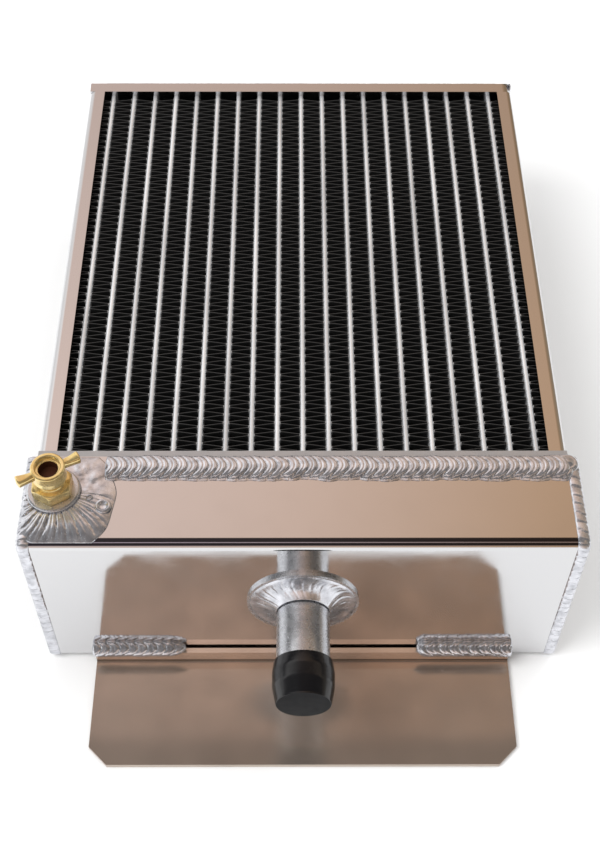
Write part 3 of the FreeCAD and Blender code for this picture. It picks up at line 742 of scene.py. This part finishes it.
def cock_body():
    """The brass body: chamfered hexagon, grooved neck, bored for the stem."""
    low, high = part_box("drain_cock_body")
    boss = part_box("drain_bung")[1].z
    origin = Vector(((low.x + high.x) / 2, (low.y + high.y) / 2, 0))
    flats = 14 * MM
    point = flats / 2 / math.cos(math.pi / 6)
    crown = boss + 5 * MM
    chamfer = 1.0 * MM
    hole, bore, chamber, spigot = 2 * MM, 3.08 * MM, 4 * MM, 5.98 * MM
    washer, lip = 6.9 * MM, 4.7 * MM
    seat, ceiling = low.z + 0.6 * MM, low.z + 5 * MM
    profile = [(hole, low.z, False), (spigot, low.z, False), (spigot, boss, False),
               (washer, boss, False),
               (point - 0.4 * MM, boss + 0.02 * MM, True), (point + 0.01 * MM, boss + 0.5 * MM, True)]
    steps = 8
    for step in range(steps + 1):
        t = step / steps
        profile.append((point - 1.5 * MM * t ** 1.4, crown - chamfer * (1 - t) ** 1.3, True))
    neck = [(5.4, 0.0), (5.15, 0.12), (5.0, 0.35), (5.0, 0.75), (4.85, 0.85), (4.3, 0.95),
            (4.2, 1.1), (4.3, 1.25), (4.85, 1.35), (5.0, 1.45), (5.0, 1.75), (4.85, 1.85),
            (4.3, 1.95), (4.2, 2.1), (4.3, 2.2), (4.7, 2.3)]
    for radius, height in neck:
        profile.append((radius * MM, crown + height * MM, False))
    profile += [(lip, high.z - 0.1 * MM, False), (lip - 0.1 * MM, high.z, False),
                (bore + 0.2 * MM, high.z, False), (bore, high.z - 0.2 * MM, False),
                (bore, ceiling, False), (chamber, ceiling, False), (chamber, seat, False),
                (hole, seat, False)]
    add_piece("drain_cock_skin", *turned_hex(profile, origin, flats), "drain_cock_body")


def ear(origin, angle, low, high):
    """One slender wing of the key: a flat paddle that flares and rounds off at its tip."""
    way = Vector((math.cos(angle), math.sin(angle), 0))
    side = Vector((-way.y, way.x, 0))
    ring, rows = 28, 30
    root, tip, blunt = 5.3 * MM, 12.35 * MM, 1.3 * MM
    thinnest, squareness = 0.02, 0.6
    points = []
    for row in range(rows):
        t = row / (rows - 1)
        along = root + (tip - root) * t
        left = (1 - t) * (tip - root)
        nose = max(0.0, 1 - max(0.0, 1 - left / blunt) ** 4) ** 0.5
        nose = max(nose, thinnest)
        thick = (1.45 + 0.95 * t ** 1.3) * MM * nose
        middle = (low + high) / 2 + (0.35 + 0.25 * t) * MM * t
        tall = ((high - low) / 2 - 0.35 * MM * math.sin(math.pi * t)) * (0.35 + 0.65 * nose)
        for turn in round_angles(ring):
            flat, rise = math.cos(turn), math.sin(turn)
            x = math.copysign(abs(flat) ** squareness, flat) * thick
            z = math.copysign(abs(rise) ** squareness, rise) * tall
            points.append(origin + way * along + side * x + UP * (middle + z))
    return points, tube_faces(rows, ring)


def cock_key():
    """The brass key: a counterbored barrel with two ears, on its stem."""
    low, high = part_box("drain_key")
    body_low, body_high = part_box("drain_cock_body")
    origin = Vector(((body_low.x + body_high.x) / 2, (body_low.y + body_high.y) / 2, 0))
    base = body_high.z + 0.4 * MM
    top = high.z
    stem = low.z + 0.02 * MM
    shank, outer, counter, hole = 2.95 * MM, 6.35 * MM, 4.6 * MM, 3.6 * MM
    ledge, floor = top - 1.6 * MM, top - 5.4 * MM
    profile = rounded([
        (0.0, stem, 0), (shank, stem, 0.3 * MM), (shank, base, 0),
        (outer - 0.5 * MM, base, 0.2 * MM), (outer, base + 0.6 * MM, 0.4 * MM),
        (outer - 0.25 * MM, base + 2.4 * MM, 2 * MM), (outer, top - 0.5 * MM, 0.4 * MM),
        (outer - 0.45 * MM, top, 0.25 * MM), (counter + 0.35 * MM, top, 0.2 * MM),
        (counter, top - 0.4 * MM, 0.2 * MM), (counter, ledge, 0.1 * MM),
        (hole + 0.2 * MM, ledge, 0.1 * MM), (hole, top - 1.9 * MM, 0.1 * MM),
        (hole, floor, 0.2 * MM), (0.0, floor, 0)])
    parts = [lathe(profile, origin, UP)]
    parked = math.radians(28)
    for angle in (parked, parked + math.pi):
        parts.append(ear(origin, angle, top - 4.3 * MM, top - 0.75 * MM))
    key = add_piece("drain_key_skin", *joined(parts), "drain_key")
    # the walls and floor of the bore below the counterbore's ledge are coloured dark brown
    bore_dark_look = Look("brass_bore_dark", (0.09, 0.03, 0.015), metallic=0.5, roughness=0.5)
    bore_dark_look.rough(bore_dark_look.grain(1.2), 0.4, 0.6)
    key.data.materials.append(bore_dark_look.material)
    for face in key.data.polygons:
        off = math.hypot(face.center.x - origin.x, face.center.y - origin.y)
        if off < hole + 0.05 * MM and top - 6 * MM < face.center.z < top - 2.2 * MM:
            face.material_index = 1


# ---- stage, light and camera -----------------------------------------------------------

def make_floor():
    """A plain pale floor at the foot of the radiator."""
    bpy.ops.mesh.primitive_plane_add(size=12, location=(0, 0, 0))
    floor = bpy.context.object
    floor.name = "studio_floor"
    look = Look("floor_look", (0.93, 0.93, 0.93), metallic=0, roughness=0.9)
    floor.data.materials.append(look.material)


def make_dome():
    """A studio tent that only the metal sees: warm across, darker overhead."""
    bpy.ops.mesh.primitive_uv_sphere_add(segments=64, ring_count=32, radius=5)
    dome = bpy.context.object
    dome.name = "studio_tent"
    for switch in ("camera", "diffuse", "transmission", "volume_scatter", "shadow"):
        setattr(dome, f"visible_{switch}", False)
    material = bpy.data.materials.new("tent_look")
    material.use_nodes = True
    tree = material.node_tree
    tree.nodes.clear()
    tent = Nodes(tree)
    place = tent.node("ShaderNodeTexCoord").outputs["Object"]
    turn = tent.node("ShaderNodeVectorMath", operation="NORMALIZE")
    tent.link(place, turn.inputs[0])
    axes = tent.node("ShaderNodeSeparateXYZ")
    tent.link(turn.outputs["Vector"], axes.inputs["Vector"])
    warm = tent.ramp(tent.rescale(axes.outputs["X"], -1, 1), [
        (0.0, (1.0, 1.0, 1.0)), (0.28, (0.95, 0.92, 0.90)), (0.40, (0.74, 0.585, 0.52)),
        (0.5, (0.66, 0.49, 0.40)), (0.61, (0.50, 0.33, 0.21)), (0.75, (0.30, 0.20, 0.12)),
        (1.0, (0.42, 0.36, 0.28))])
    angle = tent.node("ShaderNodeMath", operation="ARCTAN2")
    tent.link(axes.outputs["Z"], angle.inputs[0])
    tent.link(axes.outputs["Y"], angle.inputs[1])
    tone = tent.ramp(tent.rescale(angle.outputs["Value"], 0, math.pi), [
        (0.0, 1.0), (0.2, 0.98), (0.31, 1.3), (0.345, 1.25), (0.375, 0.17), (0.62, 0.11),
        (0.647, 1.6), (0.676, 1.6), (0.70, 0.12), (0.855, 0.11), (0.885, 1.1), (1.0, 1.1)])
    light = tent.mix(1, warm, tone, "MULTIPLY")
    glow = tent.node("ShaderNodeEmission")
    tent.link(light, glow.inputs["Color"])
    output = tent.node("ShaderNodeOutputMaterial")
    tent.link(glow.outputs["Emission"], output.inputs["Surface"])
    dome.data.materials.append(material)


def make_light(name, spot, aim, size, power):
    """A round area light at spot, turned towards aim, that no reflection shows."""
    data = bpy.data.lights.new(name, "AREA")
    data.shape = "DISK"
    data.size = size
    data.energy = power
    light = bpy.data.objects.new(name, data)
    bpy.context.scene.collection.objects.link(light)
    light.location = spot
    light.visible_glossy = False
    light.rotation_euler = (Vector(aim) - Vector(spot)).to_track_quat("-Z", "Y").to_euler()


def make_world():
    world = bpy.data.worlds.new("studio_world")
    world.use_nodes = True
    back = world.node_tree.nodes["Background"]
    back.inputs["Color"].default_value = (1, 1, 1, 1)
    back.inputs["Strength"].default_value = 0.72
    bpy.context.scene.world = world
    bpy.context.scene.view_settings.view_transform = "Standard"


def make_camera():
    """Looks down at the outlet end, as a person at a bench would."""
    tilt, swing, roll = math.radians(53.28), math.radians(0.47), math.radians(0.35)
    forward = Vector((math.sin(swing) * math.cos(tilt), math.cos(swing) * math.cos(tilt),
                      -math.sin(tilt)))
    level = Vector((math.cos(swing), -math.sin(swing), 0))
    head = level.cross(forward)
    right = level * math.cos(roll) + head * math.sin(roll)
    upward = head * math.cos(roll) - level * math.sin(roll)
    data = bpy.data.cameras.new("bench_camera")
    data.sensor_fit = "VERTICAL"
    film = 24
    data.sensor_height = film
    data.lens = film * 1.5252
    camera = bpy.data.objects.new("bench_camera", data)
    bpy.context.scene.collection.objects.link(camera)
    spot = Vector((-3.6 * MM, FACE - 247.5 * MM, 492.3 * MM))
    camera.matrix_world = (Matrix.Translation(spot)
                           @ Matrix((right, upward, -forward)).transposed().to_4x4())
    bpy.context.scene.camera = camera


# ---- build -----------------------------------------------------------------------------

header_seam()
end_beads()
fillet_weld("outlet_fillet", "outlet_weld", seed=41)
fillet_weld("inlet_fillet", "inlet_weld", seed=42)
stitches()
bung_patch()
shoulder_beads()
outlet_cap()
cock_body()
cock_key()

make_floor()
make_dome()
make_world()
make_light("key_light", spot=(-0.9, -0.5, 1.5), aim=(0, 0, 0.04), size=1.1, power=19)
make_light("fill_light", spot=(0.9, 0.6, 1.6), aim=(0, 0, 0.04), size=1.4, power=9)
make_camera()
